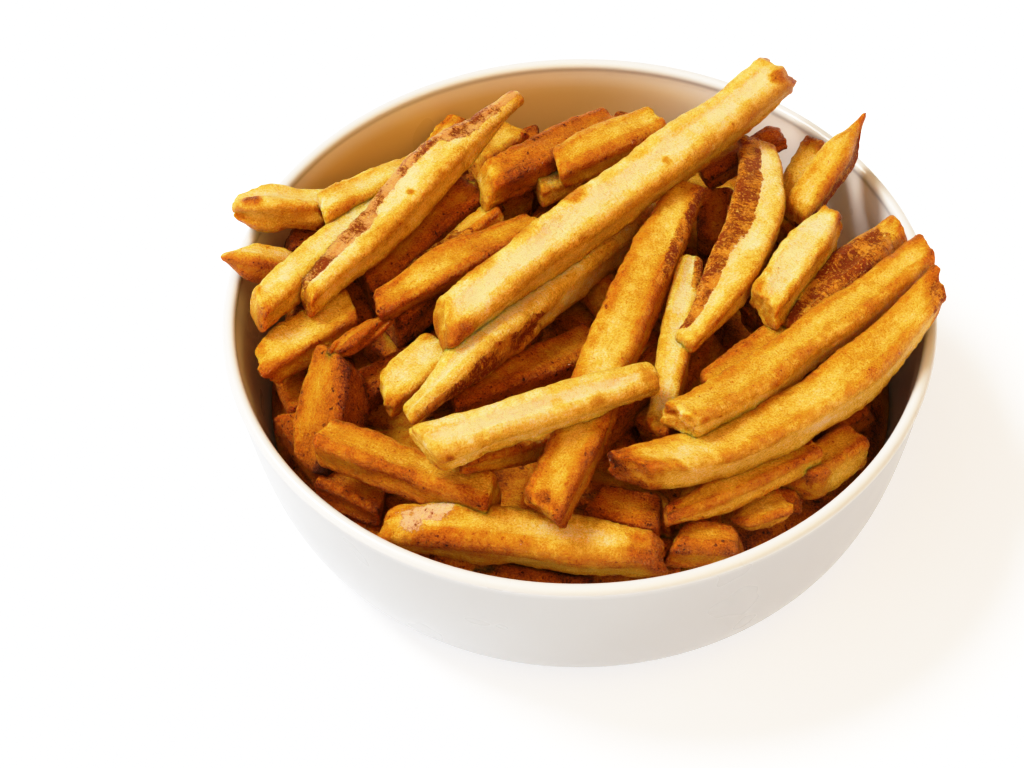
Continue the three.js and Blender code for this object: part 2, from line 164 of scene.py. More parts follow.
RIGHT_FRIES = [
    fry("right_yellow", (51, 26, 53), (63, 54, 57), (9, 8), 0.2, tip=(1, 0.8), ends=(0.1, 0.5),
        torn=(0.5, 1.0)),
    fry("right_tip", (55, 25, 58), (74, 52, 69), (8, 9), 0.14, tip=(1, 0.15), ends=(0.1, 0.4),
        skin=[(-22, 42, 0.0, 1.0)], blush=-1.2, torn=(0.5, 0.9), gnarl=0.5, drift=0.15),
    fry("right_orange", (43, -5, 52), (54, 12, 51), (9, 9), 0.55),
    fry("right_gap", (62, 14, 46), (52, 42, 46), (9, 9), 0.65),
    fry("right_pale", (45, -12, 66), (64, 20, 66), (11, 9), 0.03, tip=(0.85, 0.65), ends=(0.12, 0.4),
        faces=(0.2, 0, 0.1, 0.2), torn=(1.4, 1.6), twist=14, gnarl=0.8),
    fry("right_skin", (50, -14, 60), (80, 19, 60), (10, 9), 0.3, bow=(0, 1), tip=(0.8, 0.9),
        skin=[(70, 85, 0.0, 0.88)], blush=-0.4, torn=(1.5, 1.2), gnarl=1.0),
    fry("under_ridge", (30, -31, 60), (56, -10, 56), (9, 9), 0.42, tip=(0.9, 1)),
    fry("ridge_right", (23, -47, 66), (86, 7, 64), (11, 10), 0.26, bow=(1, -3), tip=(0.9, 0.85),
        ends=(-0.2, 0.3), faces=(-0.16, 0.03, 0.2, 0), torn=(2.4, 0.8),
        marks=[(0.01, 150, 2, 0.35), (0.03, 30, 2, 0.3), (0.3, 20, 3, 0.12)], cuts=((0.3, 0.0), None)),
    fry("ledge_right", (11, -58, 61), (88, -5, 64), (12, 11), 0.28, bow=(7, -5), tip=(0.9, 0.85),
        ends=(0.34, 0.5), skin=[(60, 50, 0.95, 1.0)], faces=(-0.16, 0.0, 0.22, 0), torn=(0.9, 1.2),
        marks=[(0.02, 150, 3, 0.25), (0.04, -120, 2.5, 0.3), (0.16, 60, 7, -0.2), (0.55, 40, 10, -0.1)],
        cuts=((0.5, 0.0), None)),
    fry("shade_right", (57, -32, 40), (71, -20, 40), (9, 9), 0.5),
]
FRONT_FRIES = [
    fry("thin_front", (20, -64, 51), (56, -43, 49), (8, 7), 0.3, tip=(0.6, 1),
        faces=(-0.05, 0.1, 0, 0)),
    fry("chunk", (52, -49, 44), (67, -37, 44), (9, 10), 0.3, ends=(0.25, 0.1),
        faces=(-0.1, 0.1, 0.1, 0), gnarl=0.6, cuts=((0.7, 0.1), None)),
    fry("flake", (36, -58, 42), (49, -55, 43), (8, 4), 0.3, tip=(0.5, 1), torn=(1, 1), gnarl=0.8),
    fry("curl_front", (45, -48, 40), (53, -50, 40), (6, 6), 0.45, tip=(0.9, 0.9), gnarl=1.0),
    fry("front_long", (-48, -61, 45), (20, -69, 42), (12, 15), 0.2, -14, bow=(0, 1), tip=(0.8, 0.85),
        ends=(0.1, 0.35), skin=[(75, 36, 0.06, 0.16), (95, 24, 0.1, 0.24)], blush=2.6,
        faces=(0.1, 0, 0.1, 0.1), torn=(1.2, 1.8), gnarl=0.6,
        marks=[(0.2, 20, 6, 0.25), (0.35, 40, 12, 0.1), (0.93, 60, 6, 0.3), (0.6, 90, 14, -0.1)]),
    fry("front_right", (22, -64, 42), (38, -66, 42), (10, 9), 0.42, tip=(1, 0.9)),
    fry("fibrous", (-61, -41, 54), (-21, -59, 52), (11, 10), 0.4, tip=(0.95, 0.95),
        ends=(0.02, -0.1), gnarl=0.5),
    fry("shade_left", (-62, -42, 40), (-48, -48, 38), (10, 9), 0.55),
    fry("shade_front", (2, -55, 44), (19, -59, 43), (10, 9), 0.55),
]
SHOWN_FRIES = TOP_FRIES + LEFT_FRIES + BACK_FRIES + RIGHT_FRIES + FRONT_FRIES

# Rings of fries that carry the shown ones: how many, how far out, how high, how long, and
# by how many degrees they may turn from lying round the bowl.
BED_RINGS = [
    (5, 14, 62, 40, 90),
    (9, 32, 60, 40, 60),
    (12, 48, 55, 40, 40),
    (16, 62, 48, 34, 20),
    (18, 71, 38, 32, 8),
    (16, 69, 28, 34, 10),
]
# How much the rings rise to the back, how far they keep off the wall, how near a shown fry
# may come, how far a fry may drop out of its way, and half of the shortest one, in mm.
BED_LEAN = 0.08
BED_CLEARANCE = 0.4
TOUCHING = 8
DEEPEST = 22
SHORTEST_HALF = 9
FIRST_SEED = 4711
# The way (x, y, z) roughly towards the key light: long faces turned from it are painted browner, as painted
# shade.
KEY_LIGHT_WAY = (-0.4, 0.35, 0.85)


# ---------------------------------------------------------------- small tools
def seeded_draws(seed):
    """The next draw between 0 and 1, the same each run."""
    factor, limit = 16807, 2147483647
    state = seed
    while True:
        state = (state * factor) % limit
        yield state / limit


def smooth(low, high, x):
    """0 below low, 1 above high, and an S between."""
    t = np.clip((np.asarray(x, float) - low) / (high - low), 0, 1)
    return t * t * (3 - 2 * t)


def lattice_noise(points, scale, seed=0.0):
    """Smooth noise between -1 and 1 at points (n, 3), with features about 1 / scale wide."""
    scatter, magnify = np.array([127.1, 311.7, 74.7]), 43758.5453
    p = points * scale + seed * 17.31
    cell = np.floor(p)
    f = p - cell
    f = f * f * (3 - 2 * f)
    total = np.zeros(len(p))
    for corner in np.ndindex(2, 2, 2):
        key = (cell + corner) @ scatter + seed * 0.7
        value = np.sin(key) * magnify
        weight = np.prod(np.where(corner, f, 1 - f), axis=1)
        total += weight * (value - np.floor(value))
    return 2 * total - 1


def mesh_piece(name, vertices, faces, material, attributes):
    """A smooth-shaded piece of the model from metres, faces of three or four corners, and what is
    painted on its points."""
    mesh = bpy.data.meshes.new(name)
    mesh.from_pydata(vertices.tolist(), [], faces)
    mesh.shade_smooth()
    for key, values in attributes:
        kind = "FLOAT_VECTOR" if np.ndim(values) == 2 else "FLOAT"
        layer = mesh.attributes.new(key, kind, "POINT")
        field = "vector" if kind == "FLOAT_VECTOR" else "value"
        layer.data.foreach_set(field, np.ravel(values).astype(np.float32))
    mesh.materials.append(material)
    piece = bpy.data.objects.new(name, mesh)
    bpy.context.scene.collection.objects.link(piece)
    return piece


# ---------------------------------------------------------------- node tools
def node(tree, kind, sockets=None, **settings):
    """A shader node with its settings, and its sockets given values or wires."""
    made = tree.nodes.new(kind)
    for key, value in settings.items():
        setattr(made, key, value)
    for key, value in (sockets or {}).items():
        if isinstance(value, bpy.types.NodeSocket):
            tree.links.new(value, made.inputs[key])
        else:
            made.inputs[key].default_value = value
    return made


def sums(tree, operation, *values):
    """One Math node's result."""
    return node(tree, "ShaderNodeMath", dict(enumerate(values)), operation=operation).outputs[0]


def swing(tree, value, amount, onto, middle=0.5):
    """A value's swing about its middle, by an amount, added onto another value."""
    return sums(tree, "MULTIPLY_ADD", sums(tree, "SUBTRACT", value, middle), amount, onto)


def spread(tree, value, low, high, out_low=0.0, out_high=1.0):
    """A value taken from one range to another, eased and held at the ends."""
    sockets = {"Value": value, "From Min": low, "From Max": high, "To Min": out_low, "To Max": out_high}
    return node(tree, "ShaderNodeMapRange", sockets, interpolation_type="SMOOTHSTEP").outputs["Result"]


def blend(tree, share, first, second):
    """A mix of two colours."""
    made = node(tree, "ShaderNodeMix", {"Factor": share}, data_type="RGBA")
    for socket, value in ((made.inputs[6], first), (made.inputs[7], second)):
        if isinstance(value, bpy.types.NodeSocket):
            tree.links.new(value, socket)
        else:
            socket.default_value = (*value, 1.0)
    return made.outputs[2]


def noise(tree, where, scale, detail=3.0, roughness=0.55):
    """Noise between 0 and 1 at a place."""
    sockets = {"Vector": where, "Scale": scale, "Detail": detail, "Roughness": roughness}
    return node(tree, "ShaderNodeTexNoise", sockets).outputs["Fac"]


def group(name, inputs, outputs):
    """An empty node group with named sockets: returns it, its input node and its output node."""
    tree = bpy.data.node_groups.new(name, "ShaderNodeTree")
    for label, kind, default in inputs:
        socket = tree.interface.new_socket(label, in_out="INPUT", socket_type=kind)
        if default is not None:
            socket.default_value = default
    for label, kind in outputs:
        tree.interface.new_socket(label, in_out="OUTPUT", socket_type=kind)
    return tree, tree.nodes.new("NodeGroupInput"), tree.nodes.new("NodeGroupOutput")


def place(tree, group_tree, sockets):
    """A group placed in a material."""
    return node(tree, "ShaderNodeGroup", sockets, node_tree=group_tree)


def stretched(tree, where, *scales):
    """A place with its three directions scaled."""
    return node(tree, "ShaderNodeMapping", {"Vector": where, "Scale": scales}).outputs[0]


def painted_on(tree, name, output="Fac"):
    """What a piece's own mesh carries under a name."""
    return node(tree, "ShaderNodeAttribute", attribute_name=name).outputs[output]


def finish_material(name, base, **constants):
    """A new material: its tree and its Principled shader, whose constants are set on its sockets."""
    material = bpy.data.materials.new(name)
    material.use_nodes = True
    tree = material.node_tree
    shader = tree.nodes["Principled BSDF"]
    shader.inputs["Base Color"].default_value = (*base, 1.0)
    for key, value in constants.items():
        shader.inputs[key.replace("_", " ")].default_value = value
    return material, tree, shader


# ---------------------------------------------------------------- fried potato
CREAM = (0.97, 0.70, 0.37)
STRAW = (0.92, 0.565, 0.1)
GOLD = (0.64, 0.32, 0.016)
AMBER = (0.50, 0.15, 0.003)
RUSSET = (0.21, 0.048, 0.002)
SCORCHED = (0.07, 0.017, 0.003)
FRYING_STEPS = [(0.0, CREAM), (0.17, STRAW), (0.4, GOLD), (0.65, AMBER), (0.88, RUSSET), (1.0, SCORCHED)]
PEEL_PINK = (0.82, 0.50, 0.28)
PEEL_BROWN = (0.68, 0.29, 0.028)
PEEL_DARK = (0.25, 0.052, 0.004)
POTATO_ROUGHNESS = 0.45
GRAIN_PER_MM = 2.1
# Depths in metres: of the crust's bumps, of the oil's on top of them, and of the light that
# glows through the flesh.
CRUST_RELIEF = 1.0 * MM
OILY_RELIEF = 1.8 * MM
GLOW_DEPTH = 4.3 * MM


def sandy_crust_group():
    """Fine fried grain with faint streaks along the fry, from the fry's own coordinates."""
    tree, given, result = group(
        "sandy_crust",
        [("Along", "NodeSocketVector", None), ("Grain", "NodeSocketFloat", 1.6)],
        [("Height", "NodeSocketFloat"), ("Streaks", "NodeSocketFloat"), ("Grit", "NodeSocketFloat")],
    )
    along = given.outputs["Along"]
    grit = noise(tree, along, given.outputs["Grain"], 4.0, 0.65)
    blisters = noise(tree, along, 0.9, 3.0, 0.65)
    streaks = noise(tree, stretched(tree, along, 0.16, 1.0, 1.0), 1.1, 3.0, 0.6)
    crinkles = noise(tree, stretched(tree, along, 1.0, 0.3, 0.3), 0.75, 3.0, 0.6)
    height = sums(tree, "MULTIPLY_ADD", grit, 0.75, sums(tree, "MULTIPLY", blisters, 0.85))
    height = sums(tree, "MULTIPLY_ADD", crinkles, 0.6, height)
    height = sums(tree, "MULTIPLY_ADD", streaks, 0.25, height)
    tree.links.new(height, result.inputs["Height"])
    tree.links.new(streaks, result.inputs["Streaks"])
    tree.links.new(grit, result.inputs["Grit"])
    return tree


def frying_colour_group():
    """The colour of fried potato from pale to scorched, mottled by its grain."""
    tree, given, result = group(
        "frying_colour",
        [("Fried", "NodeSocketFloat", 0.3), ("Along", "NodeSocketVector", None),
         ("Streaks", "NodeSocketFloat", 0.5), ("Grit", "NodeSocketFloat", 0.5),
         ("Mottle", "NodeSocketFloat", 0.25)],
        [("Colour", "NodeSocketColor"), ("Depth", "NodeSocketFloat")],
    )
    along = given.outputs["Along"]
    clouds = noise(tree, along, 0.16, 3.0, 0.6)
    blotches = noise(tree, along, 0.42, 3.0, 0.6)
    specks = noise(tree, along, 0.8, 1.0, 0.5)
    depth = swing(tree, given.outputs["Streaks"], 0.2, given.outputs["Fried"])
    depth = swing(tree, given.outputs["Grit"], 0.75, depth)
    depth = swing(tree, blotches, 0.28, depth)
    depth = swing(tree, clouds, sums(tree, "MULTIPLY", given.outputs["Mottle"], 0.9), depth)
    burnt = spread(tree, sums(tree, "MULTIPLY_ADD", given.outputs["Fried"], 0.12, specks), 0.74, 0.82)
    depth = sums(tree, "MULTIPLY_ADD", burnt, 0.24, depth)
    ramp = node(tree, "ShaderNodeValToRGB", {"Fac": depth})
    points = ramp.color_ramp.elements
    while len(points) < len(FRYING_STEPS):
        points.new(0.5)
    for point, (at, colour) in zip(points, FRYING_STEPS):
        point.position = at
        point.color = (*colour, 1.0)
    tree.links.new(ramp.outputs["Color"], result.inputs["Colour"])
    tree.links.new(depth, result.inputs["Depth"])
    return tree


def peel_group():
    """Peel left on a fry: a ragged mask, its mottled colour and its wrinkled height."""
    tree, given, result = group(
        "peel",
        [("Cover", "NodeSocketFloat", 0.0), ("Blush", "NodeSocketFloat", 0.0),
         ("Along", "NodeSocketVector", None)],
        [("Mask", "NodeSocketFloat"), ("Colour", "NodeSocketColor"), ("Height", "NodeSocketFloat")],
    )
    along = given.outputs["Along"]
    blush = given.outputs["Blush"]
    ragged = noise(tree, along, 0.3, 5.0, 0.75)
    mask = spread(tree, swing(tree, ragged, 2.6, given.outputs["Cover"]), 0.44, 0.62)
    wrinkle_space = stretched(tree, along, 1.5, 0.55, 0.55)
    wrinkles = noise(tree, wrinkle_space, 0.8, 4.0, 0.7)
    speckles = noise(tree, along, 1.7, 3.0, 0.75)
    patches = noise(tree, along, 0.16, 2.0, 0.5)
    lightness = sums(tree, "ADD", sums(tree, "MULTIPLY_ADD", patches, 1.5, wrinkles), -0.77)
    lightness = swing(tree, speckles, 0.85, lightness, 0.48)
    folds = noise(tree, wrinkle_space, 0.45, 3.0, 0.65)
    crackle = sums(tree, "ABSOLUTE", sums(tree, "SUBTRACT", folds, 0.5))
    darkened = sums(tree, "SUBTRACT", lightness, 0.06)
    lightness = sums(tree, "MULTIPLY_ADD", spread(tree, crackle, 0.0, 0.035), 0.1, darkened)
    lightness = sums(tree, "MULTIPLY_ADD", blush, 0.12, lightness)
    mottling = spread(tree, lightness, 0.36, 0.66)
    colour = blend(tree, blush, PEEL_BROWN, PEEL_PINK)
    colour = blend(tree, mottling, PEEL_DARK, colour)
    freckles = spread(tree, noise(tree, along, 1.4, 2.0, 0.5), 0.58, 0.68)
    colour = blend(tree, sums(tree, "MULTIPLY", freckles, 0.5), colour, STRAW)
    ring = sums(tree, "MULTIPLY", mask, sums(tree, "SUBTRACT", 1.0, mask))
    colour = blend(tree, sums(tree, "MULTIPLY", ring, 2.6), colour, RUSSET)
    tree.links.new(mask, result.inputs["Mask"])
    tree.links.new(colour, result.inputs["Colour"])
    tree.links.new(mottling, result.inputs["Height"])
    return tree


def potato_material(name, groups, mottle):
    """Fried potato. fried, peel, blush and along are painted on each fry's own mesh; fried also holds
    painted shade.
    """
    crust, colours, peel = groups
    material, tree, shader = finish_material(
        name, GOLD, Roughness=POTATO_ROUGHNESS, Specular_IOR_Level=0.25,
        Coat_Weight=0.45, Coat_Roughness=0.14,
        Subsurface_Weight=0.93, Subsurface_Radius=(1.0, 0.55, 0.2), Subsurface_Scale=GLOW_DEPTH,
    )
    along = painted_on(tree, "along", "Vector")
    grain = place(tree, crust, {"Along": along, "Grain": GRAIN_PER_MM})
    flesh = place(tree, colours, {"Fried": painted_on(tree, "fried"), "Along": along,
                                  "Streaks": grain.outputs["Streaks"], "Grit": grain.outputs["Grit"],
                                  "Mottle": mottle})
    skin = place(tree, peel, {"Cover": painted_on(tree, "peel"), "Blush": painted_on(tree, "blush"),
                              "Along": along})
    mask = skin.outputs["Mask"]
    colour = blend(tree, mask, flesh.outputs["Colour"], skin.outputs["Colour"])
    tree.links.new(colour, shader.inputs["Base Color"])
    rough = spread(tree, grain.outputs["Grit"], 0.3, 0.7, POTATO_ROUGHNESS - 0.1, POTATO_ROUGHNESS + 0.12)
    tree.links.new(rough, shader.inputs["Roughness"])
    peel_height = sums(tree, "MULTIPLY", mask, skin.outputs["Height"])
    height = sums(tree, "MULTIPLY_ADD", peel_height, 0.8, grain.outputs["Height"])
    crusty = node(tree, "ShaderNodeBump", {"Height": height, "Strength": 1.0, "Distance": CRUST_RELIEF})
    tree.links.new(crusty.outputs["Normal"], shader.inputs["Normal"])
    oily = node(tree, "ShaderNodeBump", {"Height": grain.outputs["Grit"], "Strength": 1.0,
                                         "Distance": OILY_RELIEF, "Normal": crusty.outputs["Normal"]})
    tree.links.new(oily.outputs["Normal"], shader.inputs["Coat Normal"])
    return material


# ---------------------------------------------------------------- glazed bowl
# The outside is painted darker and cooler than the white inside, as painted shade; thin and thick glaze
# drift about it.
GLAZE_PAINTED_SHADE = (0.41, 0.455, 0.5)
GLAZE_THIN_PAINTED_SHADE = (0.405, 0.45, 0.495)
GLAZE_THICK_PAINTED_SHADE = (0.415, 0.46, 0.505)
GLAZE_INSIDE = (0.95, 0.95, 0.94)
# Painted shade warmed by bounce light from the fries, for the inner wall's back left.
GLAZE_PAINTED_BOUNCE = (0.78, 0.62, 0.32)


def glaze_material():
    """White satin glaze, faintly uneven. The outside is painted darker and cooler than the white inside, as
    painted shade, and the inner wall's back left is painted warm and darker, as painted shade lit by bounce
    light from the fries.
    """
    material, tree, shader = finish_material("white_glaze", GLAZE_PAINTED_SHADE, Roughness=0.3,
                                             Coat_Weight=0.2, Coat_Roughness=0.15)
    place_in = node(tree, "ShaderNodeTexCoord").outputs["Object"]
    drift = noise(tree, place_in, 18.0, 2.0)
    # The outside's painted shade, uneven with the glaze's drift.
    outside = blend(tree, spread(tree, drift, 0.3, 0.7), GLAZE_THIN_PAINTED_SHADE, GLAZE_THICK_PAINTED_SHADE)
    # The inside, white, with painted shade and bounce light at its back left.
    inside = blend(tree, painted_on(tree, "painted_bounce"), GLAZE_INSIDE, GLAZE_PAINTED_BOUNCE)
    colour = blend(tree, painted_on(tree, "inside"), outside, inside)
    tree.links.new(colour, shader.inputs["Base Color"])
    rough = spread(tree, noise(tree, place_in, 40.0, 2.0), 0.3, 0.7, 0.27, 0.34)
    tree.links.new(rough, shader.inputs["Roughness"])
    return material


# ---------------------------------------------------------------- the bowl's shape
def wall_curve(radius, depth, flat_radius, steps):
    """Radius and height down a wall, from the lip to where the bottom turns flat."""
    points = []
    for i in range(steps + 1):
        angle = LIP_START + (math.pi / 2 - LIP_START) * (1 - (1 - i / steps) ** 1.8)
        r = flat_radius + (radius - flat_radius) * max(math.cos(angle), 0.0) ** WALL_SQUARENESS
        z = RIM_HEIGHT - depth * math.sin(angle) ** WALL_STEEPNESS
        points.append((r, z))
    return points


# The inside of the wall in coarse steps, as the solid bowl has it, for what lies against it.
INNER_WALL = wall_curve(INNER_RADIUS, INNER_DEPTH, FOOT_RADIUS, 9)
UNDER_LIP = 0.4


def inner_radius_at(z):
    """How far out the inside of the wall is, at a height."""
    if z >= INNER_WALL[0][1]:
        return INNER_RADIUS - UNDER_LIP
    for (above_r, above_z), (below_r, below_z) in zip(INNER_WALL, INNER_WALL[1:]):
        if z >= below_z:
            return below_r + (above_r - below_r) * (z - below_z) / max(above_z - below_z, 0.001)
    return 0.0


def lathe(profile, sides):
    """Vertices and faces of a profile (r, z) turned about Z; it starts and ends on the axis."""
    ring_points = [p for p in profile if p[0] > 0]
    turn = np.arange(sides) * 2 * math.pi / sides
    rings = [np.stack([r * np.cos(turn), r * np.sin(turn), np.full(sides, float(z))], 1)
             for r, z in ring_points]
    vertices = np.vstack([[(0, 0, profile[0][1])], *rings, [(0, 0, profile[-1][1])]])
    last = len(vertices) - 1
    faces = []
    for k in range(sides):
        after = (k + 1) % sides
        faces.append((0, 1 + after, 1 + k))
        faces.append((last, last - sides + k, last - sides + after))
        for i in range(len(rings) - 1):
            low, high = 1 + i * sides, 1 + (i + 1) * sides
            faces.append((low + k, low + after, high + after, high + k))
    return vertices, faces


def bowl_piece(material):
    """The glazed bowl: a flat foot with a rounded edge, the wall, a round lip and the inside."""
    sides, wall_steps, lip_steps = 192, 40, 16
    profile = [(0, 0), (FOOT_RADIUS * 0.5, 0), (FOOT_RADIUS - 2, 0), (FOOT_RADIUS - 0.8, 0.0)]
    profile += [(FOOT_RADIUS - 0.35, 0.12), (FOOT_RADIUS - 0.05, 0.45), (FOOT_RADIUS, 0.8)]
    profile += wall_curve(RIM_RADIUS, OUTER_DEPTH, FOOT_RADIUS, wall_steps)[::-1]
    lip = WALL / 2
    for i in range(lip_steps + 1):
        angle = math.pi * i / lip_steps
        profile.append((RIM_RADIUS - lip + lip * math.cos(angle), RIM_HEIGHT - lip + lip * math.sin(angle)))
    inner_wall = wall_curve(INNER_RADIUS, INNER_DEPTH, FOOT_RADIUS, wall_steps)[1:]
    profile += [(r + LIP_BLEND * float(smooth(*LIP_BLEND_HEIGHTS, z)), z) for r, z in inner_wall]
    profile += [(FOOT_RADIUS * 0.5, FLOOR), (0, FLOOR)]
    vertices, faces = lathe(profile, sides)
    out, height = np.hypot(vertices[:, 0], vertices[:, 1]), vertices[:, 2]
    past_lip = np.arange(len(vertices)) >= len(vertices) - 1 - sides * (wall_steps + 1)
    is_inner = past_lip & (out < INNER_RADIUS + 0.5)
    # The top of the lip is painted half as dark as the outside, as painted shade.
    inside = np.maximum(is_inner, 0.5 * smooth(51, 54.2, height))
    # Painted shade warmed by bounce light from the fries, on the inner wall's back left below the lip.
    toward_bounce = vertices[:, :2] @ np.array(PAINTED_BOUNCE_SIDE) / np.maximum(out, 1)
    painted_bounce = is_inner * smooth(0.4, 0.92, toward_bounce) * (1 - smooth(47, 54, height))
    piece = mesh_piece("bowl_glazed", vertices * MM, faces, material, [("inside", inside), ("painted_bounce", painted_bounce)])
    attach(piece, "root")
    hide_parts("bowl")
    return piece


# ---------------------------------------------------------------- a fry's shape
# How far apart the rings of points lie, in mm, and the points on each side and corner of the
# section: finely for fries that show, coarsely for those beneath.
FINE = dict(step=0.55, side_steps=13, corner_steps=4)
COARSE = dict(step=2.2, side_steps=6, corner_steps=3)
# The noise patterns of neighbouring fries lie this far apart, in mm.
PATTERN_GAP = 37.0


def axes_of(run):
    """The length of a run, and which ways are forward, sideways and up along it."""
    length = np.linalg.norm(run)
    forward = run / length
    side = np.cross(forward, (0, 0, 1.0))
    side /= np.linalg.norm(side)
    return length, forward, side, np.cross(side, forward)


def section_points(side_steps, corner_steps):
    """Points round a square with round corners: (box place, outward normal), each (n, 2)."""
    box, normal = [], []
    for corner in range(4):
        middle = math.radians(45 + 90 * corner)
        at = np.sign([math.cos(middle), math.sin(middle)])
        for k in range(corner_steps + 1):
            angle = math.radians(90 * (corner + k / corner_steps))
            box.append(at)
            normal.append([math.cos(angle), math.sin(angle)])
        following = math.radians(45 + 90 * (corner + 1))
        to = np.sign([math.cos(following), math.sin(following)])
        for k in range(1, side_steps):
            box.append(at + (to - at) * k / side_steps)
            normal.append([math.cos(angle), math.sin(angle)])
    return np.array(box, float), np.array(normal, float)


def fry_rings(length, step, ease):
    """Rings from one end to the other: place along the fry, how far inside the skin, how full."""
    cap = [(0.0, ease, share) for share in (0.15, 0.3, 0.45, 0.6, 0.72, 0.84, 0.93, 1.0)]
    cap += [(ease * (1 - math.cos(a)), ease * (1 - math.sin(a)), 1.0) for a in (0.3, 0.6, 0.9, 1.2)]
    count = max(2, round((length - 2 * ease) / step))
    body = [(ease + (length - 2 * ease) * i / count, 0.0, 1.0) for i in range(count + 1)]
    back = [(length - place_at, inset, share) for place_at, inset, share in cap[::-1]]
    return np.array(cap + body + back)


def cut_stick(spec, seed, step, side_steps, corner_steps):
    """A straight stick as it was cut: its own dimensions, and an array for each fact of its points.

    place_at and t are how far along a point lies, in mm and as a share; box and normal are its
    place and outward way on the square section; edge is 1 on a long edge and 0 inside a face,
    and on_side is 1 on the long faces and less towards the middle of a cut end.
    """
    draws = seeded_draws(FIRST_SEED + 131 * seed)
    slant = [[0.9 * next(draws) - 0.45 for _ in range(2)] for _ in range(2)]
    half = np.array(spec["cut"], float) / 2
    length, forward, side, up = axes_of(np.array(spec["end"], float) - np.array(spec["start"], float))
    corner = (0.34 + 0.26 * next(draws)) * half.min()
    ease = min((0.16 + 0.2 * next(draws)) * half.min(), 0.12 * length)
    wedge = 0.3 * next(draws) - 0.15
    twist = math.radians(spec["twist"] + 20 * next(draws) - 10)

    rings = fry_rings(length, step, ease)
    box, normal = section_points(side_steps, corner_steps)
    count, around = len(rings), len(box)
    place_at, inset, full = (np.repeat(rings[:, i], around) for i in range(3))
    box = np.tile(box, (count, 1))
    t = place_at / length
    return SimpleNamespace(
        slant=[given or own for given, own in zip(spec["cuts"], slant)],
        half=half, corner=corner, wedge=wedge, twist=twist,
        length=length, forward=forward, side=side, up=up,
        count=count, around=around, place_at=place_at, inset=inset, full=full, t=t,
        box=box, normal=np.tile(normal, (count, 1)),
        edge=np.minimum(np.abs(box[:, 0]), np.abs(box[:, 1])) ** 3,
        on_side=full ** 1.5,
        line=np.stack([place_at, 0 * t, 0 * t], 1),
        pattern=lambda points, width, layer: lattice_noise(points, 1 / width, seed + layer),
    )


def fried_section(spec, stick):
    """Each point's place on the section (sideways, up), once the stick is cut and fried."""
    # Wider towards one face, thinner at the ends, and swollen here and there.
    t, normal, edge = stick.t, stick.normal, stick.edge
    first, last = spec["tip"]
    tip = 1 - (1 - first) * (1 - smooth(0, 0.4, t)) - (1 - last) * (1 - smooth(0, 0.4, 1 - t))
    swell = np.stack([1 + 0.12 * stick.pattern(stick.line, 15, layer) for layer in (0.0, 8.5)], 1)
    size = np.maximum(stick.half * tip[:, None] * swell - stick.inset[:, None], 0.2)
    straight, rounded = np.maximum(size - stick.corner, 0.05), np.minimum(stick.corner, size)
    flat = stick.full[:, None] * (stick.box * straight + normal * rounded)
    flat[:, 0] *= 1 + stick.wedge * flat[:, 1] / stick.half[1]

    # Its faces dry out and sink, its edges crisp up and crumble.
    round_it = 6 * stick.box + normal
    local = np.stack([stick.place_at, round_it[:, 0], round_it[:, 1]], 1)
    relief = (spec["gnarl"] + 0.1) * stick.pattern(local, 8, 0.3) + 0.12 * stick.pattern(local, 3.4, 1.3)
    relief += (0.07 + 0.1 * edge) * stick.pattern(local, 1.9, 2.1) - 0.25 * (1 - edge)
    relief += (0.07 + 0.15 * edge) * stick.pattern(local, 1.1, 3.7)
    flat += normal * (relief * stick.on_side * smooth(0.15, 0.8, tip))[:, None]
    return flat


def broken_ends(spec, stick, flat):
    """How far along each point lies, once both ends are cut askew and broken."""
    place_at, from_end = stick.place_at, stick.length - stick.place_at
    across_end = np.stack([flat[:, 0], flat[:, 1], 0 * stick.t], 1)
    breaks = 0.65 * stick.pattern(across_end, 3.2, 5.9) + 0.35 * stick.pattern(across_end, 1.2, 4.4)
    near_start, near_end = 1 - smooth(0, 14, place_at), 1 - smooth(0, 14, from_end)
    at_start, at_end = 1 - smooth(0, 3.5, place_at), 1 - smooth(0, 3.5, from_end)
    first, last = stick.slant
    forward_by = place_at + flat[:, 0] * (first[0] * near_start + last[0] * near_end)
    forward_by += flat[:, 1] * (first[1] * near_start + last[1] * near_end)
    forward_by += (spec["torn"][0] * at_start - spec["torn"][1] * at_end) * (breaks + 0.2)
    return forward_by


def turned_by(flat, angle):
    """Places on the section turned about the stick's length."""
    cosine, sine = np.cos(angle), np.sin(angle)
    return np.stack([flat[:, 0] * cosine - flat[:, 1] * sine, flat[:, 0] * sine + flat[:, 1] * cosine], 1)


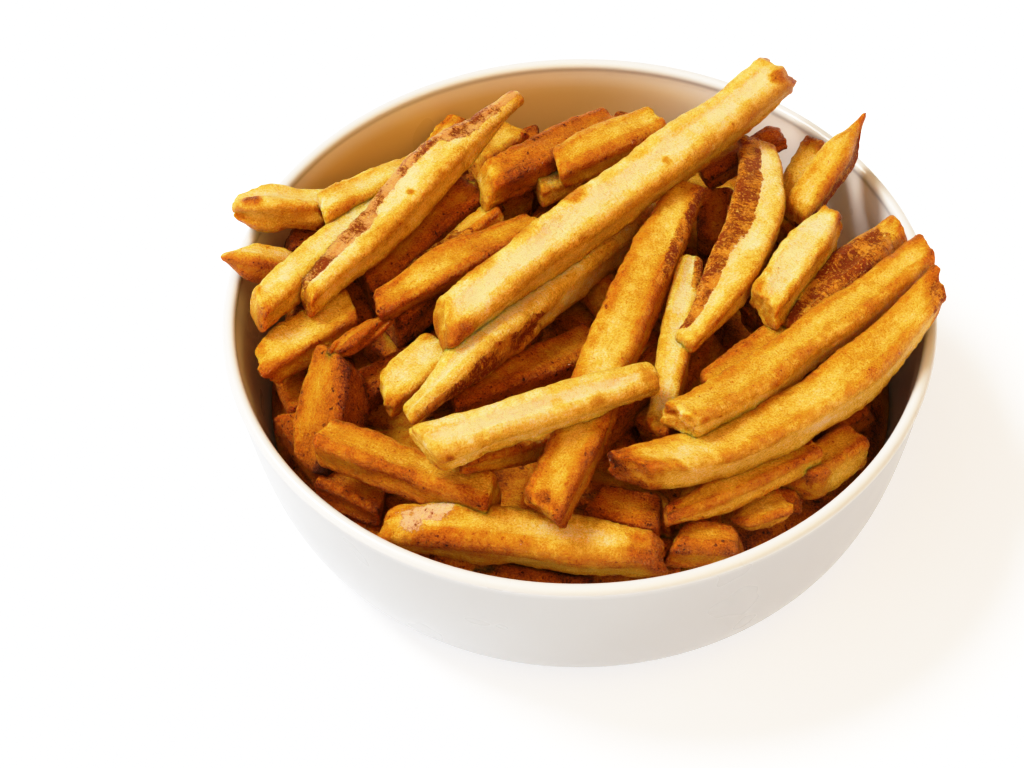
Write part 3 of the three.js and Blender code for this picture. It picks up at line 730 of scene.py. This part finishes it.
def browning_and_painted_shade(spec, stick, skin_place, facing, toward_light):
    """How brown each point is, from 0 pale to 1 dark, with painted shade on long faces turned from the
    light.
    """
    t, normal, edge, on_side = stick.t, stick.normal, stick.edge, stick.on_side
    place_at, from_end = stick.place_at, stick.length - stick.place_at
    right, top, left, bottom = spec["faces"]
    fried = spec["fried"] + spec["drift"] * t + np.where(normal[:, 0] > 0, right, left) * normal[:, 0] ** 2
    fried += np.where(normal[:, 1] > 0, top, bottom) * normal[:, 1] ** 2

    # Browner on long faces turned from the light, as painted shade, and browner at the ends and along the
    # edges.
    fried += 0.09 * (1 - np.minimum(fried, 0.9)) * (1 - smooth(-0.4, 0.85, toward_light)) * on_side
    uneven = 2 * stick.pattern(skin_place, 4, 7.7)
    fried += spec["ends"][0] * (1 - smooth(0, 6, place_at + uneven))
    fried += spec["ends"][1] * (1 - smooth(0, 6, from_end + uneven))
    crisp = 0.12 * stick.pattern(skin_place, 5.3, 9.1) + 0.14 * stick.pattern(skin_place, 1.1, 4.9)
    fried += edge * on_side * min(0.6 + spec["fried"], 1.0) * (0.17 + crisp) - 0.05 * (1 - edge) * on_side
    ending = np.maximum(1 - smooth(0, 5, place_at), 1 - smooth(0, 5, from_end))
    fried += ending * (0.06 + 0.18 * stick.pattern(skin_place, 1.5, 3.3))
    fried += 0.04 + 0.09 * stick.pattern(skin_place, 9, 6.6) + 0.08 * stick.pattern(skin_place, 3, 8.2)

    for along_at, angle, breadth, gain in spec["marks"]:
        round_by = np.radians((facing - angle + 180) % 360 - 180) * stick.half.mean() * 1.2
        away = np.hypot((t - along_at) * stick.length, round_by)
        away = away + 0.3 * breadth * stick.pattern(skin_place, 1.4, 2.9)
        fried += gain * (1 - smooth(0.35 * breadth, 1.1 * breadth, away))

    # Nothing burns black: the darkest part of the range is held back.
    dark = 0.66
    return np.where(fried > dark, dark + 0.45 * (fried - dark), fried)


def peel_cover(spec, stick, skin_place, facing):
    """Where peel is left on, from 0 bare to 1 covered."""
    ragged = stick.t + 2.5 / stick.length * stick.pattern(skin_place, 3, 1.9)
    peel = np.zeros(len(stick.t))
    for angle, breadth, begins, stops in spec["skin"]:
        off = np.abs((facing - angle + 180) % 360 - 180)
        reach = 1 - smooth(breadth - 12, breadth + 12, off)
        begun, ended = (smooth(at - 0.04, at + 0.04, ragged) for at in (begins, stops))
        peel = np.maximum(peel, reach * begun * (1 - ended))
    return peel


def skin_faces(count, around):
    """Faces between rings of points, with both ends closed on the two points that follow them."""
    faces = []
    last_ring = (count - 1) * around
    for ring in range(0, last_ring, around):
        for k in range(around):
            after = (k + 1) % around
            faces.append((ring + after, ring + k, ring + around + k, ring + around + after))
    first_middle = count * around
    last_middle = first_middle + 1
    for k in range(around):
        after = (k + 1) % around
        faces.append((first_middle, k, after))
        faces.append((last_middle, last_ring + after, last_ring + k))
    return faces


def build_fry(spec, seed, **fineness):
    """A cut, fried and slightly shrunken potato stick: vertices in mm, faces and painted values."""
    stick = cut_stick(spec, seed, **fineness)
    t, around = stick.t, stick.around
    flat = fried_section(spec, stick)
    forward_by = broken_ends(spec, stick, flat)

    # It is twisted, bent and wavy along its run.
    angle = math.radians(spec["roll"]) + stick.twist * (t - 0.5)
    turned = turned_by(flat, angle)
    sag = 4 * t * (1 - t)
    wander = [0.85 * stick.pattern(stick.line, 24, layer) for layer in (3.1, 6.2)]
    points = np.array(spec["start"], float) + stick.forward * forward_by[:, None]
    points = points + stick.side * (turned[:, 0] + spec["bow"][0] * sag + wander[0])[:, None]
    points = points + stick.up * (turned[:, 1] + spec["bow"][1] * sag + wander[1])[:, None]

    skin_place = np.stack([stick.place_at, 1.2 * flat[:, 0], 1.2 * flat[:, 1]], 1)
    facing = np.degrees(np.arctan2(turned[:, 1] / stick.half[1], turned[:, 0] / stick.half[0]))
    # How far each point faces towards the key light, for the painted shade on the faces turned from it.
    toward_light = turned_by(stick.normal, angle) @ np.stack([stick.side, stick.up]) @ np.array(KEY_LIGHT_WAY)
    fried = browning_and_painted_shade(spec, stick, skin_place, facing, toward_light)
    along = np.stack([forward_by + PATTERN_GAP * seed, flat[:, 0], flat[:, 1]], 1)

    def with_ends(values):
        """Values with two more, for the middles of the cut ends."""
        return np.concatenate([values, [values[:around].mean(0)], [values[-around:].mean(0)]])

    points = with_ends(points)
    values = {
        "fried": with_ends(fried),
        "peel": np.append(peel_cover(spec, stick, skin_place, facing), [0, 0]),
        "blush": np.full(len(points), float(spec["blush"])),
        "along": with_ends(along),
    }
    return points, skin_faces(stick.count, around), values


def heap_piece(name, specs, material, first_seed, fineness):
    """Fries joined in one piece that stands for part of the heap."""
    vertices, faces, painted = [], [], {"fried": [], "peel": [], "blush": [], "along": []}
    total = 0
    for number, spec in enumerate(specs):
        points, own_faces, values = build_fry(spec, first_seed + number, **fineness)
        vertices.append(points)
        faces += [tuple(i + total for i in face) for face in own_faces]
        total += len(points)
        for key, value in values.items():
            painted[key].append(value)
    attributes = [(key, np.concatenate(values)) for key, values in painted.items()]
    piece = mesh_piece(name, np.vstack(vertices) * MM, faces, material, attributes)
    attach(piece, "root")
    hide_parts("fries")
    return piece


# ---------------------------------------------------------------- the bed of fries beneath
def centre_line(start, end, bow, count):
    """Points along the middle of a bent fry."""
    start, end = np.array(start, float), np.array(end, float)
    _, _, side, up = axes_of(end - start)
    t = np.linspace(0, 1, count)[:, None]
    return start + (end - start) * t + (side * bow[0] + up * bow[1]) * 4 * t * (1 - t)


def bed_fries():
    """Fries that lie round the bowl under the shown ones, clear of the wall and of them."""
    draws = seeded_draws(FIRST_SEED)
    shown = np.vstack([centre_line(f["start"], f["end"], f["bow"], 13) for f in SHOWN_FRIES])
    bed = []
    for count, radius, height, length, turn in BED_RINGS:
        for i in range(count):
            angle = 2 * math.pi * (i + 0.6 * next(draws)) / count
            heading = angle + math.pi / 2 + math.radians(turn * (2 * next(draws) - 1))
            tilt = 5 * (2 * next(draws) - 1)
            wide = 9 + 2 * next(draws)
            thick = 8.5 + 1.5 * next(draws)
            roll = 90 * next(draws)
            half = length * (0.85 + 0.3 * next(draws)) / 2
            drop = 0
            centre = radius * math.cos(angle), radius * math.sin(angle)
            reach = math.cos(heading), math.sin(heading)

            def ends():
                """The centres of its two ends, in mm."""
                for way in (-1, 1):
                    x, y = (middle + way * half * along for middle, along in zip(centre, reach))
                    yield x, y, height - drop + way * tilt + BED_LEAN * y

            def inside():
                """Whether both ends, corners and all, are clear of the wall."""
                return all(
                    math.hypot(x, y) + wide * 0.7 < inner_radius_at(z - thick / 2) - BED_CLEARANCE
                    for x, y, z in ends()
                )

            def crossing():
                """Whether it runs too near a fry that shows."""
                own = centre_line(*ends(), (0, 0), 9)
                return (np.linalg.norm(own[:, None] - shown[None], axis=2) < TOUCHING).any()

            while not inside() and half > 6:
                half -= 1
            if half < SHORTEST_HALF:
                continue
            while crossing() and drop < DEEPEST:
                drop += 1
            if crossing() or not inside():
                continue
            low, high = ends()
            brown = 0.36 + 0.28 * ((i * 7 + count) % 5) / 4
            bed.append(fry(f"bed_{len(bed)}", low, high, (wide, thick), brown, roll))
    return bed


def core_piece(material):
    """The fries that can't be seen: a lumpy mound under the bed, painted darker than the fries that show, as
    painted shade in the gaps it shows through.
    """
    shoulder, top = 24, 45
    wall_steps, mound_steps = 8, 30
    bottom = FLOOR + BED_CLEARANCE
    profile = [(0, bottom)]
    for i in range(wall_steps + 1):
        z = bottom + (shoulder - bottom) * i / wall_steps
        profile.append((inner_radius_at(z - 0.3) - 1.2, z))
    for i in range(1, mound_steps):
        angle = math.pi / 2 * i / mound_steps
        radius = inner_radius_at(shoulder) * math.cos(angle) ** 0.7 - 0.8
        profile.append((radius, shoulder + (top - shoulder) * math.sin(angle)))
    profile.append((0, top))
    vertices, faces = lathe(profile, 120)
    lumps = 1.5 * lattice_noise(vertices, 1 / 9, 3.0) - 1.5
    vertices[:, 2] += lumps * smooth(12, shoulder, vertices[:, 2])
    # Painted shade: browner than the fries that show, for the deep gaps between them.
    painted_shade_brown = 0.68 + 0.25 * lattice_noise(vertices, 1 / 5, 4.0)
    painted = [("fried", painted_shade_brown), ("peel", np.zeros(len(vertices))), ("along", vertices)]
    piece = mesh_piece("heap_core", vertices * MM, faces, material, painted)
    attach(piece, "root")
    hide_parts("fries")
    return piece


# ---------------------------------------------------------------- camera, table and lights
def aim(azimuth, elevation, roll=0.0):
    """The axes (sideways, over, back) of what looks at the bowl from a direction, in degrees."""
    azimuth, elevation, roll = (math.radians(angle) for angle in (azimuth, elevation, roll))
    back = np.array([math.cos(azimuth) * math.cos(elevation), math.sin(azimuth) * math.cos(elevation),
                     math.sin(elevation)])
    side = np.cross((0, 0, 1.0), back)
    side /= np.linalg.norm(side)
    over = np.cross(back, side)
    cosine, sine = math.cos(roll), math.sin(roll)
    return side * cosine + over * sine, over * cosine - side * sine, back


def stand(name, data, axes, at):
    """A camera or lamp that stands at a point in metres, turned to its axes."""
    piece = bpy.data.objects.new(name, data)
    rows = [(*row, spot) for row, spot in zip(zip(*axes), at)]
    piece.matrix_world = Matrix([*rows, (0, 0, 0, 1)])
    bpy.context.scene.collection.objects.link(piece)
    return piece


def set_camera():
    """Looks down at the bowl's front from about fifty degrees up, with a long lens."""
    camera = bpy.data.cameras.new("camera")
    camera.sensor_width = 36
    camera.lens = 124.4
    camera.clip_end = 20
    axes = aim(-88.53594, 49.53412, -1.92408)
    bpy.context.scene.camera = stand("camera", camera, axes, (-0.0023, -0.5861, 0.7130))


def set_table():
    """A plain pale surface just under the foot, not part of the model."""
    reach, under = 4.0, -0.0002
    corners = [(x * reach, y * reach, under) for x, y in ((-1, -1), (1, -1), (1, 1), (-1, 1))]
    mesh = bpy.data.meshes.new("table_top")
    mesh.from_pydata(corners, [], [(0, 1, 2, 3)])
    material, _, _ = finish_material("table_white", (0.66, 0.70, 0.76), Roughness=0.8, Emission_Strength=0.5)
    mesh.materials.append(material)
    piece = bpy.data.objects.new("table_top", mesh)
    bpy.context.scene.collection.objects.link(piece)


def far_lamp(name, energy, breadth, colour, azimuth, elevation):
    """A lamp far away in a direction, as broad as it looks from the bowl; all angles in degrees."""
    light = bpy.data.lights.new(name, "SUN")
    light.energy = energy
    light.angle = math.radians(breadth)
    light.color = colour
    axes = aim(azimuth, elevation)
    stand(name, light, axes, axes[2])


def set_lights():
    """A key from the back left with a broad softbox by it, a gold reflector high in front, a low
    soft fill and a dim warm surround."""
    far_lamp("key", 3.08, 19, (1.0, 0.965, 0.91), 160, 57)
    far_lamp("softbox", 1.15, 80, (1.0, 0.98, 0.95), 185, 48)
    far_lamp("gold_reflector", 1.8, 70, (1.0, 0.54, 0.17), -60, 50)
    fill = bpy.data.lights.new("low_fill", "AREA")
    fill.shape = "RECTANGLE"
    fill.size, fill.size_y = 1.6, 0.25
    fill.energy = 0.25
    axes = aim(-85, 10)
    stand("low_fill", fill, axes, 1.1 * axes[2])

    world = bpy.data.worlds.new("studio")
    world.use_nodes = True
    tree = world.node_tree
    dim = tree.nodes["Background"]
    dim.inputs["Color"].default_value = (1.0, 0.86, 0.68, 1.0)
    dim.inputs["Strength"].default_value = 0.16
    pale = node(tree, "ShaderNodeBackground", {"Color": (1, 1, 1, 1), "Strength": 1.6})
    seen = node(tree, "ShaderNodeLightPath").outputs["Is Camera Ray"]
    either = node(tree, "ShaderNodeMixShader", {0: seen, 1: dim.outputs[0], 2: pale.outputs[0]})
    tree.links.new(either.outputs[0], tree.nodes["World Output"].inputs["Surface"])
    bpy.context.scene.world = world


# How bright the film turns out for how much light falls on it, where 1 is white paper.
FILM_RESPONSE = [(0.03, 0.02), (0.1, 0.095), (0.25, 0.265), (0.5, 0.565), (0.8, 0.845), (1.1, 0.965)]


def set_film():
    """A film-like response: firm shadows, lifted middle tones and a soft shoulder below white."""
    view = bpy.context.scene.view_settings
    view.view_transform = "Standard"
    view.look = "None"
    view.use_curve_mapping = True
    brightest = 1.6
    view.curve_mapping.white_level = (brightest, brightest, brightest)
    combined = view.curve_mapping.curves[3]
    for light, film in FILM_RESPONSE:
        combined.points.new(light / brightest, film)
    view.curve_mapping.update()


# ---------------------------------------------------------------- build
set_camera()
set_table()
set_lights()
set_film()
potato_groups = (sandy_crust_group(), frying_colour_group(), peel_group())
fresh_potato = potato_material("golden_potato", potato_groups, 0.26)
deep_potato = potato_material("deep_fried_potato", potato_groups, 0.3)
bowl_piece(glaze_material())
heap_piece("fries_on_top", TOP_FRIES[:6], fresh_potato, 1, FINE)
heap_piece("fries_across_top", TOP_FRIES[6:], fresh_potato, 7, FINE)
heap_piece("fries_at_left", LEFT_FRIES, fresh_potato, 31, FINE)
heap_piece("fries_at_back", BACK_FRIES, fresh_potato, 61, FINE)
heap_piece("fries_at_right", RIGHT_FRIES, fresh_potato, 91, FINE)
heap_piece("fries_in_front", FRONT_FRIES, fresh_potato, 121, FINE)
heap_piece("fries_beneath", bed_fries(), deep_potato, 151, COARSE)
core_piece(deep_potato)
